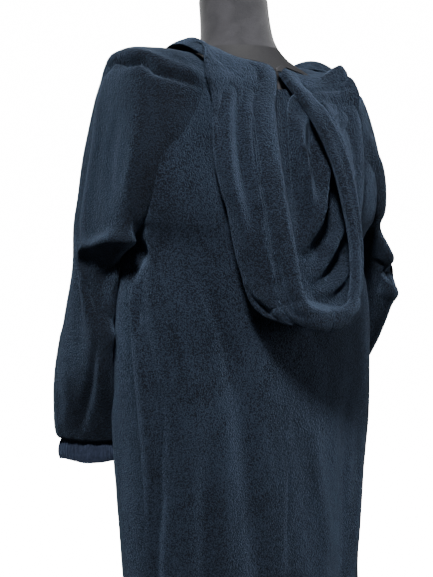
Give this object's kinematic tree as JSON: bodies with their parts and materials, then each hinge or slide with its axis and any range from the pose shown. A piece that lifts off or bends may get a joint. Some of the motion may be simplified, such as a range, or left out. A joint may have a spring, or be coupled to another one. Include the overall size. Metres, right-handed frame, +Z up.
{
  "type": "hooded onesie pajama on a limbless dress form",
  "caption": "Hooded plush one-piece pajama with raglan sleeves and a front zip, hung on a limbless dress form with a pole and a round base; the hood hangs down the back.",
  "frame": {"origin": "centre of the stand base's flat underside", "axes": "+Z up; the garment's front faces -Y and its back +Y; the wearer's left is +X"},
  "size_m": [0.6494, 0.416, 1.622],
  "materials": {
    "navy_fleece": "deep plush pile, matt with a soft sheen",
    "form_jersey": "tight matt jersey cover",
    "zip_coil": "black nylon coil on woven tape",
    "zip_metal": "dark gunmetal, half gloss",
    "painted_steel": "dark powder coat"
  },
  "bodies": {
    "garment_and_form": {"back_left": "navy_fleece", "back_right": "navy_fleece", "front_left": "navy_fleece", "front_right": "navy_fleece", "sleeve_left": "navy_fleece", "sleeve_right": "navy_fleece", "cuff_left": "navy_fleece", "cuff_right": "navy_fleece", "ankle_left": "navy_fleece", "ankle_right": "navy_fleece", "hood_left": "navy_fleece", "hood_right": "navy_fleece", "zip_left": "zip_coil", "zip_right": "zip_coil", "zip_slider": "zip_metal", "form_torso": "form_jersey", "stand_pole": "painted_steel", "stand_base": "painted_steel"},
    "pull": {"zip_pull": "zip_metal"}
  },
  "joints": [
    {"name": "pull_swing", "type": "hinge", "parent": "garment_and_form", "child": "pull", "pos_m": [0, -0.144, 1.266], "axis": [-1, 0, 0], "range_deg": [0, 150]}
  ]
}
